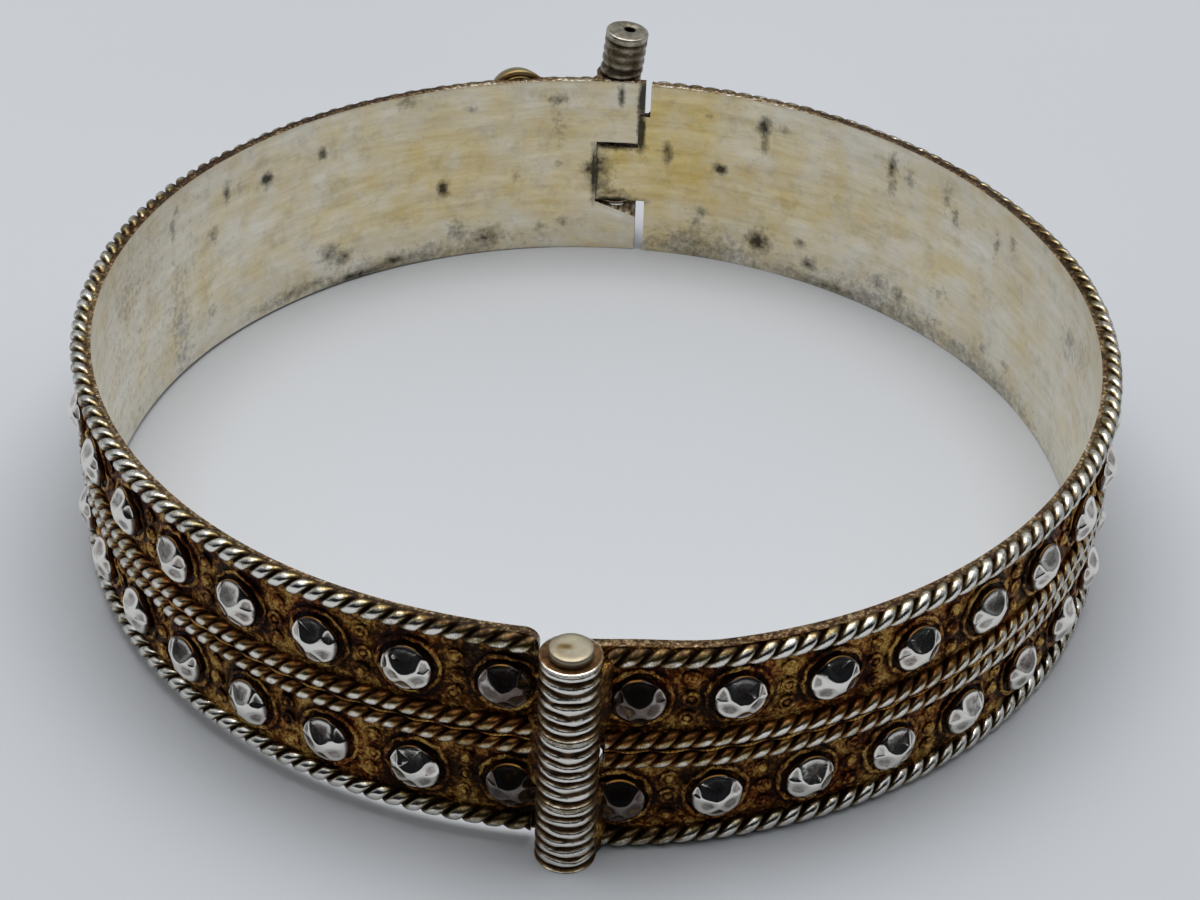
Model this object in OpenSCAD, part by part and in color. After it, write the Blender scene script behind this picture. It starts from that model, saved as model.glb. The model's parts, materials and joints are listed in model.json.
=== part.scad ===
// Hinged bangle of two half bands, silver with a gilt and darkened outer face.
// It lies on its side: the wrist axis is Z, and z = 0 is the edge that it rests on.
// The hinge is at the front (-Y) and the pin clasp at the back (+Y). Millimetres.

/* [Band] */
// Inner diameter, across the wrist opening
inner_d = 58; // [54:1:64]
// Height of the band, from edge to edge
band_h = 12.9; // [12.6:0.1:13.4]
// Thickness of the plain sheet under the ornament
sheet_t = 0.55; // [0.5:0.05:0.7]
// How much higher the left half stands at the worn hinge than at the clasp
left_rise = 0.8; // [0:0.1:0.9]

/* [Rope wires] */
// Diameter of the twisted wires along both edges
edge_rope_d = 1.1; // [1:0.05:1.2]
// Diameter of the two twisted wires along the middle
mid_rope_d = 1.05; // [0.95:0.05:1.1]
// How far the twisted wires stand out from the sheet
rope_proud = 0.65; // [0.55:0.05:0.75]
// Distance between the centres of the two middle wires
mid_rope_gap = 1.24; // [1.2:0.02:1.3]

/* [Studs] */
// Studs in each row of a half band
studs_per_row = 18; // [14:1:18]
// Turn from one stud to the next, in degrees
stud_step = 9.8; // [9.6:0.1:9.8]
// Diameter of a stud
stud_d = 2.4; // [2:0.1:2.5]
// Height of a stud over the sheet
stud_h = 1.05; // [0.8:0.05:1.2]
// Outer diameter of the wire ring round each stud
collar_d = 2.76; // [2.6:0.02:2.8]
// Distance from the band's middle to each row of studs
row_offset = 3.25; // [3.1:0.05:3.3]

/* [Hinge and clasp] */
// Diameter of the hinge barrel
hinge_barrel_d = 3.2; // [3:0.1:3.3]
// Length of the hinge barrel
hinge_barrel_h = 13.35; // [13:0.05:13.6]
// Diameter of the clasp barrel
clasp_barrel_d = 3; // [2.8:0.1:3.1]
// Diameter of the hinge pin
hinge_pin_d = 1.4; // [1.2:0.1:1.5]
// Diameter of the clasp pin's shank
clasp_pin_d = 1.4; // [1.2:0.1:1.5]
// Diameter of the clasp pin's ribbed head
clasp_head_d = 2.85; // [2.6:0.05:3]
// Height of the clasp pin's head
clasp_head_h = 3; // [2.5:0.1:3.5]
// Lean of the clasp pin's head to the right, in degrees
clasp_head_lean = 6; // [0:0.5:7]

/* [Knob] */
// Diameter of the round knob on the left half, beside the clasp
knob_d = 3.4; // [3:0.1:3.5]
// Turn from the clasp to the knob, in degrees
knob_turn = 13; // [12:0.5:14]

/* [Hidden] */
$fn = 96;
small_fn = 32;

inner_r = inner_d / 2;
outer_r = inner_r + sheet_t;
mid_z = band_h / 2;

// How deep a soldered piece reaches into the sheet, and how far a cut goes past the solid it cuts
sunk = 0.2;
over = 1;

// Twisted wires: their centres lie so deep that rope_proud stands out.
edge_inset = 0.05;
edge_rope_r = outer_r + rope_proud - edge_rope_d / 2;
mid_rope_r = outer_r + rope_proud - mid_rope_d / 2;
edge_rope_z = [edge_inset + edge_rope_d / 2, band_h - edge_inset - edge_rope_d / 2];
mid_rope_z = [mid_z - mid_rope_gap / 2, mid_z + mid_rope_gap / 2];

// Rows of studs: [turn from the hinge to the first stud, height of the row]
left_rows = [[5.45, mid_z - row_offset], [6.25, mid_z + row_offset]];
right_rows = [[5, mid_z - row_offset], [6.65, mid_z + row_offset]];
collar_h = 0.3;

// A stud is a low wall with a cap of a sphere on it.
stud_wall_share = 0.43;
cap_h = stud_h * (1 - stud_wall_share);
cap_r = (pow(stud_d / 2, 2) + pow(cap_h, 2)) / (2 * cap_h);

// Barrels: the clasp's back lies just outside the wall of the wrist opening, and the hinge's just inside.
hinge_inset = -0.3;
clasp_inset = 0.2;
hinge_r = hinge_barrel_d / 2;
hinge_y = -(inner_r + hinge_inset + hinge_r);
clasp_r = clasp_barrel_d / 2;
clasp_y = inner_r + clasp_inset + clasp_r;
run_gap = 0.05;
side_gap = 0.17;
clasp_side_gap = 0.65;
leaf_t = 1;

// Knuckle tables, from the bottom up: [lowest z, highest z]
knuckle_gap = 0.1;
hinge_third = hinge_barrel_h / 3;
hinge_zones = [for (k = [0:2]) [k * hinge_third + (k > 0 ? knuckle_gap / 2 : 0),
                                (k + 1) * hinge_third - (k < 2 ? knuckle_gap / 2 : 0)]];
clasp_gap = 0.25;
clasp_cuts = [band_h * 0.295, band_h * 0.635];
clasp_zones = [[0, clasp_cuts[0] - clasp_gap / 2],
               [clasp_cuts[0] + clasp_gap / 2, clasp_cuts[1] - clasp_gap / 2],
               [clasp_cuts[1] + clasp_gap / 2, band_h]];

left_tilt = atan(left_rise / (clasp_y - hinge_y));

// Hinge pin and its flat head
pin_head_d = 2.25;
pin_head_h = 0.5;

// Clasp pin
shank_bottom = clasp_zones[2][0] + run_gap;
shank_in_head = 1;
head_gap = 0.12;
head_shift = 0.17;
head_hole_d = 0.6;
head_hole_h = 1;
head_hole_at = [0.15, 0.35];

// Knob
knob_r = knob_d / 2;
knob_out = 0.65;
knob_down = 1.5;

// Where a turn from the hinge ends up, in degrees from +X: the left half runs clockwise
// from the hinge seen from above, and the right half counterclockwise.
function place(side, turn) = -90 + side * turn;

// Half of a ring with the given 2D profile, on the -X side or the +X side.
// skip_hinge and skip_clasp are the turns left free at its two ends.
module half_ring(side, skip_hinge = 0, skip_clasp = 0) {
    first = side < 0 ? 90 + skip_clasp : -90 + skip_hinge;
    rotate([0, 0, first])
        rotate_extrude(angle = 180 - skip_hinge - skip_clasp)
            children();
}

// A piece soldered on the outer face at a given turn from the hinge and a given height.
module on_face(side, turn, z) {
    rotate([0, 0, place(side, turn)])
        translate([outer_r, 0, z])
            rotate([0, 90, 0])
                children();
}

module stud() {
    translate([0, 0, -sunk])
        cylinder(d = collar_d, h = collar_h + sunk);
    intersection() {
        cylinder(d = stud_d, h = stud_h + over);
        translate([0, 0, stud_h - cap_r])
            sphere(r = cap_r);
    }
}

module rope_profiles() {
    for (z = edge_rope_z)
        translate([edge_rope_r, z])
            circle(d = edge_rope_d, $fn = small_fn);
    for (z = mid_rope_z)
        translate([mid_rope_r, z])
            circle(d = mid_rope_d, $fn = small_fn);
}

// Sheet, twisted wires and studs of one half, before its ends are cut for the barrels.
module band(side, rows, skipped) {
    wire_skip_hinge = asin((hinge_r + side_gap) / outer_r);
    wire_skip_clasp = asin((clasp_r + side_gap) / outer_r);
    half_ring(side)
        translate([inner_r, 0])
            square([sheet_t, band_h]);
    half_ring(side, wire_skip_hinge, wire_skip_clasp)
        rope_profiles();
    for (row = rows)
        for (k = [0:studs_per_row - 1])
            if (row[1] < mid_z || k != skipped)
                on_face(side, row[0] + k * stud_step, row[1])
                    stud();
}

// Room for the knuckle of the other half: from the barrel's middle to free_x on this half's side.
module knuckle_room(side, y, free_x, zone, low, high) {
    translate([side > 0 ? -over : -free_x, y - hinge_barrel_d, zone[0] - low])
        cube([free_x + over, 2 * hinge_barrel_d, zone[1] - zone[0] + low + high]);
}

// One knuckle with its bore, and the leaf that solders it to the sheet on its own side.
module knuckle(side, y, r, bore_d, zone) {
    leaf_w = r + side_gap;
    leaf_y = inner_r + sheet_t / 2;
    difference() {
        union() {
            translate([0, y, zone[0]])
                cylinder(r = r, h = zone[1] - zone[0]);
            translate([side > 0 ? 0 : -leaf_w, y > 0 ? leaf_y : -leaf_y - leaf_t, zone[0]])
                cube([leaf_w, leaf_t, min(zone[1], band_h) - zone[0]]);
        }
        translate([0, y, zone[0] - over])
            cylinder(d = bore_d, h = zone[1] - zone[0] + 2 * over);
    }
}

// A ball whose back stays in the sheet, clear of the wrist opening.
module knob() {
    difference() {
        rotate([0, 0, 90 + knob_turn])
            translate([outer_r + knob_out, 0, band_h - knob_down])
                sphere(r = knob_r);
        cylinder(r = outer_r - sunk, h = band_h + knob_d);
    }
}

// Left half band: it carries the middle hinge knuckle, the outer clasp knuckles and the knob.
module left_half() {
    color([0.62, 0.52, 0.33]) {
        difference() {
            translate([0, clasp_y, 0])
                rotate([-left_tilt, 0, 0])
                    translate([0, -clasp_y, 0])
                        band(-1, left_rows, studs_per_row - 2);
            knuckle_room(-1, hinge_y, hinge_r + side_gap, hinge_zones[0], over, knuckle_gap);
            knuckle_room(-1, hinge_y, hinge_r + side_gap, hinge_zones[2], knuckle_gap, over);
            knuckle_room(-1, clasp_y, clasp_r + run_gap, clasp_zones[1], clasp_gap, clasp_gap);
        }
        knuckle(-1, hinge_y, hinge_r, hinge_pin_d + 2 * run_gap, hinge_zones[1]);
        for (k = [0, 2])
            knuckle(-1, clasp_y, clasp_r, clasp_pin_d + 2 * run_gap, clasp_zones[k]);
        knob();
    }
}

// Right half band: it carries the outer hinge knuckles and the middle clasp knuckle.
module right_half() {
    color([0.58, 0.47, 0.29]) {
        difference() {
            band(1, right_rows, studs_per_row);
            knuckle_room(1, hinge_y, hinge_r + side_gap, hinge_zones[1], knuckle_gap, knuckle_gap);
            for (k = [0, 2])
                knuckle_room(1, clasp_y, clasp_r + clasp_side_gap, clasp_zones[k],
                             k == 0 ? over : clasp_gap, k == 0 ? clasp_gap : over);
        }
        for (k = [0, 2])
            knuckle(1, hinge_y, hinge_r, hinge_pin_d + 2 * run_gap, hinge_zones[k]);
        knuckle(1, clasp_y, clasp_r, clasp_pin_d + 2 * run_gap, clasp_zones[1]);
    }
}

// Hinge pin: it stands in all three hinge knuckles, and its flat head lies on the top one.
module hinge_pin() {
    color("silver")
        translate([0, hinge_y, 0]) {
            translate([0, 0, run_gap])
                cylinder(d = hinge_pin_d, h = hinge_barrel_h);
            translate([0, 0, hinge_barrel_h])
                cylinder(d = pin_head_d, h = pin_head_h);
        }
}

// Clasp pin: its shank stands in the top clasp knuckle, and its head leans a little.
module clasp_pin() {
    foot_z = band_h + head_gap;
    color("silver")
        difference() {
            union() {
                translate([0, clasp_y, shank_bottom])
                    cylinder(d = clasp_pin_d, h = foot_z + shank_in_head - shank_bottom);
                difference() {
                    leaning_head()
                        translate([0, 0, -over])
                            cylinder(d = clasp_head_d, h = clasp_head_h + over);
                    translate([-clasp_head_d, clasp_y - clasp_head_d, foot_z - 2 * over])
                        cube([2 * clasp_head_d, 2 * clasp_head_d, 2 * over]);
                }
            }
            leaning_head()
                translate([head_hole_at[0], head_hole_at[1], clasp_head_h - head_hole_h])
                    cylinder(d = head_hole_d, h = head_hole_h + over);
        }
}

// Places the head, which leans to the right out of its flat foot on the barrel.
module leaning_head() {
    translate([head_shift, clasp_y, band_h + head_gap])
        rotate([0, clasp_head_lean, 0])
            children();
}

left_half();
right_half();
hinge_pin();
clasp_pin();
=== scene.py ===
# %% [markdown]
# # A hinged silver bangle
#
# The real thing is a hinged bangle of two half bands. Each half is a strip of silver sheet, and all its
# ornament is soldered on: twisted wires along the edges and the middle, two rows of domed studs in wire
# rings, and small grains between them. The outer face was gilt once and has gone dark in its recesses.
#
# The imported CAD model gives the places. Every shape here is built round it, in the same frame.

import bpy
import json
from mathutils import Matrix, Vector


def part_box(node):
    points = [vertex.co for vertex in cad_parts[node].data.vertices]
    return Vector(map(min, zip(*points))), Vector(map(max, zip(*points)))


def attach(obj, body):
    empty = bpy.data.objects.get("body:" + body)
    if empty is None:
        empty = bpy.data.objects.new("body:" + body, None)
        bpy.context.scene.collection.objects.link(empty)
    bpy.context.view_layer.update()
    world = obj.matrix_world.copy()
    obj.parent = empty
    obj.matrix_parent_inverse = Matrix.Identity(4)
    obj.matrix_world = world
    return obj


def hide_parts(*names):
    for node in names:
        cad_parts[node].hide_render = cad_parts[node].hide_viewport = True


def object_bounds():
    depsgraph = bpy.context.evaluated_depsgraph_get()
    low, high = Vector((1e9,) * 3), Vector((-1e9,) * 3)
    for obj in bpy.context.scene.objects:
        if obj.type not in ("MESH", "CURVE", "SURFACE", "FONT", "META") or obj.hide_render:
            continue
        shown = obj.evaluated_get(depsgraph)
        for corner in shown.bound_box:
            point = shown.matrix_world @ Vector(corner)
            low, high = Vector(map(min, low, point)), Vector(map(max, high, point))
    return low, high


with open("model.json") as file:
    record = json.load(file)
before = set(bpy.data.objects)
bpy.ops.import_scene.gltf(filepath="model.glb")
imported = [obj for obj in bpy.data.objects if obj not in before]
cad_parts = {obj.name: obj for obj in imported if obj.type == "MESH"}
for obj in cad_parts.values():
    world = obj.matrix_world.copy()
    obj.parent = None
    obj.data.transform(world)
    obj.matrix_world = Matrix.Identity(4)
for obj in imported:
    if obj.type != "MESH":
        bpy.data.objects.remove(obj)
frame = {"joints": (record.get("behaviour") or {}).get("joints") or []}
cad_low, cad_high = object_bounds()
print("CAD box in mm:", [round(1000 * value, 2) for value in (*cad_low, *cad_high)])

# %% [markdown]
# ## Units and colours
#
# A jeweller works in millimetres, so every shape is built in millimetres and shrunk to metres as the
# last thing. Colours are picked as hex values from a colour wheel, which are made for screens. The
# renderer adds up light, so one function turns them into amounts of light.

# %% Modules, units and colours
import json
import math
import random

import bmesh
import bpy
from mathutils import Matrix, Vector, noise

MM = 0.001


def linear(code):
    """An sRGB hex colour as linear red, green and blue, with alpha 1."""
    parts = [int(code[k:k + 2], 16) / 255 for k in (1, 3, 5)]
    return [p / 12.92 if p <= 0.04045 else ((p + 0.055) / 1.055) ** 2.4 for p in parts] + [1.0]


def smooth_step(low, high, value):
    """0 below low, 1 above high, and a soft rise between them."""
    share = min(1.0, max(0.0, (value - low) / (high - low)))
    return share * share * (3 - 2 * share)


# %% [markdown]
# ## The camera
#
# The photograph looks down on the bangle from the hinge side. Its camera was found by fitting the rims,
# the hinge, the clasp and the studs. A camera looks along its own -Z, so it is first tipped up from
# looking straight down, then rolled, moved back from the point it looks at, and swung a little sideways.

# %% Camera
PITCH, ROLL, SWING = math.radians(36.07), math.radians(2.1), math.radians(1.3)
CAMERA_DISTANCE = 164.1
CAMERA_TARGET = Vector((0.35, 5.0, 0.0))
SENSOR_W, PHOTO_W, FOCAL_PIXELS = 36.0, 1200, 2628

look = Vector((0, math.cos(PITCH), -math.sin(PITCH)))
camera_data = bpy.data.cameras.new("camera")
camera_data.sensor_width = SENSOR_W
camera_data.lens = SENSOR_W * FOCAL_PIXELS / PHOTO_W
camera_data.clip_start = 0.01
camera = bpy.data.objects.new("camera", camera_data)
camera.matrix_world = (
    Matrix.Rotation(SWING, 4, "Z")
    @ Matrix.Translation((CAMERA_TARGET - look * CAMERA_DISTANCE) * MM)
    @ Matrix.Rotation(math.pi / 2 - PITCH, 4, "X")
    @ Matrix.Rotation(ROLL, 4, "Z")
)
bpy.context.scene.collection.objects.link(camera)
bpy.context.scene.camera = camera
print("lens in mm:", round(camera_data.lens, 2))

# %% [markdown]
# ## Nodes and finishes
#
# Every finish here is built from nodes. One small function adds a node, sets it and links it, and gives
# back its outputs. Each piece carries two attributes that its finish reads: `place`, where a point lay
# in millimetres before the strip was bent, so that scratches follow the band, and `wear`, 0 in a recess
# that nothing rubs and 1 on a high spot that is rubbed bright.

# %% A node, and the start of a finish
# A Mix node has a set of sockets for each kind of data. These are the ones for colours.
MIX_A, MIX_B, MIX_OUT = 6, 7, 2


def node(tree, kind, links=None, stops=None, **settings):
    """Adds one node. links maps inputs to values or other nodes' outputs; stops are (place, hex)."""
    made = tree.nodes.new("ShaderNode" + kind)
    for name, value in settings.items():
        setattr(made, name, value)
    for name, value in (links or {}).items():
        if isinstance(value, bpy.types.NodeSocket):
            tree.links.new(value, made.inputs[name])
        else:
            made.inputs[name].default_value = value
    for k, (at, code) in enumerate(stops or []):
        spot = made.color_ramp.elements[k] if k < 2 else made.color_ramp.elements.new(at)
        spot.position, spot.color = at, linear(code)
    return made.outputs


def new_finish(name):
    """A new material: itself, its tree, and its place and wear attributes."""
    material = bpy.data.materials.new(name)
    material.use_nodes = True
    tree = material.node_tree
    place = node(tree, "Attribute", attribute_name="place")["Vector"]
    wear = node(tree, "Attribute", attribute_name="wear")["Fac"]
    return material, tree, place, wear


def give_shader(tree, values):
    """Sets or links the inputs of the material's Principled shader."""
    shader = tree.nodes["Principled BSDF"]
    for name, value in values.items():
        if isinstance(value, bpy.types.NodeSocket):
            tree.links.new(value, shader.inputs[name])
        else:
            shader.inputs[name].default_value = value


# %% [markdown]
# ## Floor, light and room
#
# The bangle lies on pale matt paper under soft overhead light. Polished silver shows what stands round
# it, so the room matters as much as the lamp: pale above and behind, and dark on the camera's side.
# That dark side is what the studs and the wires show as black between their white lights.

# %% Floor
FLOOR_SIZE = 2400
bm = bmesh.new()
bmesh.ops.create_grid(bm, x_segments=1, y_segments=1, size=FLOOR_SIZE / 2 * MM)
floor_mesh = bpy.data.meshes.new("floor")
bm.to_mesh(floor_mesh)
bm.free()
floor = bpy.data.objects.new("floor", floor_mesh)
bpy.context.scene.collection.objects.link(floor)

# Matt photo paper, a pale cool grey: it scatters light evenly. Its tooth is 1 mm wide, hardly seen, and
# its tone shifts a little over 70 mm.
paper = bpy.data.materials.new("Matt_photo_paper")
paper.use_nodes = True
tree = paper.node_tree
paper_place = node(tree, "TexCoord")["Object"]
tooth = node(tree, "TexNoise", {"Vector": paper_place, "Scale": 900.0, "Detail": 2.0})["Fac"]
cloud = node(tree, "TexNoise", {"Vector": paper_place, "Scale": 14.0, "Detail": 1.0})["Fac"]
give_shader(tree, {
    "Base Color": node(tree, "ValToRGB", {"Fac": cloud}, [(0.3, "#c4c6ca"), (0.7, "#c9cbcf")])["Color"],
    "Roughness": 0.9,
    "Normal": node(tree, "Bump", {"Height": tooth, "Strength": 0.05, "Distance": 0.0001})["Normal"],
})
floor_mesh.materials.append(paper)

# %% Room and lamp
ROOM_STRENGTH = 0.86
LAMP_W, LAMP_D, LAMP_WATTS = 0.3, 0.2, 0.63
LAMP_AT, LAMP_TIPPED = (-0.005, 0.04, 0.3), math.radians(-9)

room = bpy.data.worlds.new("room")
room.use_nodes = True
bpy.context.scene.world = room
tree = room.node_tree
to_sky = node(tree, "SeparateXYZ", {"Vector": node(tree, "TexCoord")["Generated"]})
front_side = node(tree, "ValToRGB", {"Fac": to_sky["Z"]}, [
    (0.0, "#1b1c1e"), (0.55, "#16181c"), (0.7, "#4b5055"), (0.8, "#e6eaed")])["Color"]
back_side = node(tree, "ValToRGB", {"Fac": to_sky["Z"]}, [
    (0.0, "#a9adb1"), (0.45, "#c3c7ca"), (0.8, "#e9edf0")])["Color"]
turned_back = node(tree, "MapRange", {
    "Value": to_sky["Y"], "From Min": -0.35, "From Max": 0.35})["Result"]
room_light = node(
    tree, "Mix", {0: turned_back, MIX_A: front_side, MIX_B: back_side}, data_type="RGBA")[MIX_OUT]
background = tree.nodes["Background"]
tree.links.new(room_light, background.inputs["Color"])
background.inputs["Strength"].default_value = ROOM_STRENGTH

lamp_data = bpy.data.lights.new("softbox", "AREA")
lamp_data.shape = "RECTANGLE"
lamp_data.size, lamp_data.size_y = LAMP_W, LAMP_D
lamp_data.energy = LAMP_WATTS
lamp = bpy.data.objects.new("softbox", lamp_data)
lamp.matrix_world = Matrix.Translation(LAMP_AT) @ Matrix.Rotation(LAMP_TIPPED, 4, "X")
bpy.context.scene.collection.objects.link(lamp)
bpy.context.scene.view_settings.view_transform = "Standard"

# %% [markdown]
# ## Sizes
#
# The hinge's and the clasp's places come from the frame. The rest are the sheet's and the ornament's own
# sizes, as the CAD model has them.

# %% Sizes in millimetres
joints = {joint["name"]: joint for joint in frame["joints"]}
HINGE_Y = joints["hinge"]["pos_m"][1] / MM
HINGE_R = HINGE_Y - cad_low.y / MM
clasp_low, clasp_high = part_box("clasp_pin")
CLASP_Y = (clasp_low.y + clasp_high.y) / 2 / MM
CLASP_R = 1.495

INNER_R, SHEET_T, BAND_H = 29.0, 0.55, 12.9
OUTER_R = INNER_R + SHEET_T
MID_Z = BAND_H / 2
HALF_L = math.pi * OUTER_R

HINGE_ZONES = ((0.0, 4.4), (4.5, 8.85), (8.95, 13.35))
CLASP_ZONES = ((0.0, 3.68), (3.93, 8.07), (8.32, 12.9))
BORE_R = 0.75
LEFT_RISE = 0.8
LEFT_TILT = (
    Matrix.Translation((0, CLASP_Y, 0))
    @ Matrix.Rotation(-math.atan(LEFT_RISE / (CLASP_Y - HINGE_Y)), 4, "X")
    @ Matrix.Translation((0, -CLASP_Y, 0))
)
SIDES = {"left": -1, "right": 1}
print("hinge at", round(HINGE_Y, 2), "clasp at", round(CLASP_Y, 2), "half length", round(HALF_L, 2))

# %% [markdown]
# ## Flat first, then bent
#
# A silversmith makes such a band flat: the wires, rings and grains are soldered to a straight strip,
# and the finished strip is bent to a half circle. The model goes the same way, because every wire is
# then a straight wire and every stud stands on a plane. Seen from the front, x runs along the outer face
# to the right, y goes into the sheet and z is up. The right half is the strip from x = 0 at the hinge to
# HALF_L, and the left half runs from -HALF_L to 0. Bending by hand leaves the band a little uneven, and
# the right half's upper corner has been pressed in beside the hinge.

# %% Small mesh tools
SNAP, WELD = 0.0001, 0.001
ALONG, INTO, UP = (1, 0, 0), (0, 1, 0), (0, 0, 1)


def cut(bm, co, normal, geom=None, **clear):
    """One straight cut through all of a bmesh or part of it. clear_outer takes off what lies beyond."""
    geom = geom or bm.verts[:] + bm.edges[:] + bm.faces[:]
    return bmesh.ops.bisect_plane(bm, geom=geom, dist=SNAP, plane_co=co, plane_no=normal, **clear)


def close_holes(bm):
    """Closes every open loop with one face."""
    bmesh.ops.holes_fill(bm, edges=[edge for edge in bm.edges if edge.is_boundary])


def weld(bm, dist=WELD):
    """Merges doubled points and turns the faces outwards."""
    bmesh.ops.remove_doubles(bm, verts=bm.verts, dist=dist)
    bmesh.ops.recalc_face_normals(bm, faces=bm.faces)


def full_spin(bm, steps):
    """Spins a whole bmesh once round Z and closes the seam."""
    bmesh.ops.spin(
        bm, geom=bm.verts[:] + bm.edges[:], cent=(0, 0, 0), axis=UP, angle=2 * math.pi, steps=steps,
        use_merge=True)
    weld(bm)


def only(items, kind):
    """The items of one kind, such as the edges, among what an operator gives back."""
    return [item for item in items if isinstance(item, kind)]


def add(whole, part):
    """Puts one bmesh into another and frees it."""
    mesh = bpy.data.meshes.new("part")
    part.to_mesh(mesh)
    part.free()
    whole.from_mesh(mesh)
    bpy.data.meshes.remove(mesh)


# %% Bending, and turning a bmesh into a piece
CALM_ENDS = 8.0
UNEVEN_OUT, UNEVEN_UP = 0.05, 0.03
UNEVEN_TURNS = 0.09
PRESSED_IN, PRESSED_FROM, PRESSED_FULL = 0.5, 8.0, 2.5


def bend(bm, side):
    """Bends flat work to its half of the band, and lifts the left half at the worn hinge."""
    for vert in bm.verts:
        x, y, z = vert.co
        calm = smooth_step(0, CALM_ENDS, abs(x)) * smooth_step(0, CALM_ENDS, HALF_L - abs(x))
        out = calm * UNEVEN_OUT * noise.noise(Vector((UNEVEN_TURNS * x, 0.1 * z, 3.0)))
        up = calm * UNEVEN_UP * (1 + noise.noise(Vector((UNEVEN_TURNS * x, 7.0, 0.0))))
        if side == "right":
            out -= PRESSED_IN * z / BAND_H * smooth_step(PRESSED_FROM, PRESSED_FULL, x)
        angle = x / OUTER_R - math.pi / 2
        reach = OUTER_R - y + out
        vert.co = (reach * math.cos(angle), reach * math.sin(angle), z + up)
    if side == "left":
        bm.transform(LEFT_TILT)


def note_place(bm):
    """Keeps where every point lies now, in millimetres, for the finishes."""
    layer = bm.verts.layers.float_vector.new("place")
    for vert in bm.verts:
        vert[layer] = vert.co


def note_amount(bm, name, rule):
    """Keeps one number for every point, such as its wear, from a rule of its place."""
    layer = bm.verts.layers.float.new(name)
    for vert in bm.verts:
        vert[layer] = rule(vert.co)


# Unless it is seeded, the vector noise starts from a new place in every run.
noise.seed_set(5)


def make_uneven(bm, scale, amount):
    """Moves every point a little, by a noise of its place."""
    for vert in bm.verts:
        vert.co += amount * noise.noise_vector(vert.co * scale)


def make_piece(name, bm, finishes, body, stands_for=(), sharp=40):
    """Shrinks a bmesh to metres, makes it an object with its finishes, and lets it ride on its body."""
    bmesh.ops.scale(bm, vec=(MM, MM, MM), verts=bm.verts)
    mesh = bpy.data.meshes.new(name)
    bm.to_mesh(mesh)
    bm.free()
    for finish in finishes:
        mesh.materials.append(finish)
    mesh.shade_smooth()
    mesh.set_sharp_from_angle(angle=math.radians(sharp))
    piece = bpy.data.objects.new(name, mesh)
    bpy.context.scene.collection.objects.link(piece)
    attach(piece, body)
    if stands_for:
        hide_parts(*stands_for)
    print(name, len(mesh.polygons), "faces")
    return piece


# %% [markdown]
# ## The inner wall: pale silver, worn smooth by the wrist
#
# Sheet silver, rolled and polished, then worn against skin for years. It is a metal with soft, wide
# reflections. The eye sees a pale champagne tone, yellower where gilding has crept over, fine scratches
# that run with the band, and brown-black tarnish spots where moisture sat. The same dark colour paints
# shade at the clasp, along its edges and in its gaps.

# %% Finish: pale sheet silver
inner_finish, tree, place, wear = new_finish("Rolled_silver_worn_pale")
stain_and_shade = node(tree, "Attribute", attribute_name="stain_and_shade")["Fac"]
yellow = node(tree, "Attribute", attribute_name="yellow")["Fac"]

# Rubbed streaks 4 mm long and 0.6 mm wide along the band, and scratches 5 mm long and 0.07 mm wide.
streak_place = node(tree, "Mapping", {"Vector": place, "Scale": (0.25, 1.0, 1.6)})["Vector"]
streaks = node(tree, "TexNoise", {
    "Vector": streak_place, "Scale": 1.0, "Detail": 5.0, "Roughness": 0.7})["Fac"]
scratch_place = node(tree, "Mapping", {
    "Vector": place, "Rotation": (0, 0.04, 0), "Scale": (0.2, 1.0, 14.0)})["Vector"]
scratches = node(tree, "TexNoise", {"Vector": scratch_place, "Scale": 1.0, "Detail": 2.0})["Fac"]
scratch_lines = node(tree, "ValToRGB", {"Fac": scratches}, [
    (0.35, "#000000"), (0.42, "#ffffff"), (0.62, "#ffffff"), (0.68, "#7c7c7c")])["Color"]
# Clouds of gilding and tarnish 2 to 3 mm wide, and grit of 0.3 mm that breaks up the spots' edges.
clouds, film, grit = (
    node(tree, "TexNoise", {
        "Vector": place, "Scale": scale, "Detail": detail, "Roughness": fineness})["Fac"]
    for scale, detail, fineness in ((0.4, 6.0, 0.62), (0.75, 6.0, 0.7), (2.2, 5.0, 0.75)))

bare = node(tree, "ValToRGB", {"Fac": streaks}, [
    (0.3, "#e2dcc9"), (0.55, "#f0eadb"), (0.75, "#faf6ec")])["Color"]
golden = node(tree, "ValToRGB", {"Fac": streaks}, [(0.3, "#d8bc72"), (0.7, "#eed998")])["Color"]
gold_share = node(tree, "Math", {
    0: node(tree, "Math", {0: clouds, 1: 1.9, 2: -0.9}, operation="MULTIPLY_ADD")[0], 1: yellow},
    operation="ADD", use_clamp=True)[0]
toned = node(tree, "Mix", {0: gold_share, MIX_A: bare, MIX_B: golden}, data_type="RGBA")[MIX_OUT]
film_share = node(tree, "MapRange", {
    "Value": film, "From Min": 0.5, "From Max": 0.72, "To Max": 0.3})["Result"]
filmed = node(
    tree, "Mix", {0: film_share, MIX_A: toned, MIX_B: linear("#8f8468")}, data_type="RGBA")[MIX_OUT]
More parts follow.
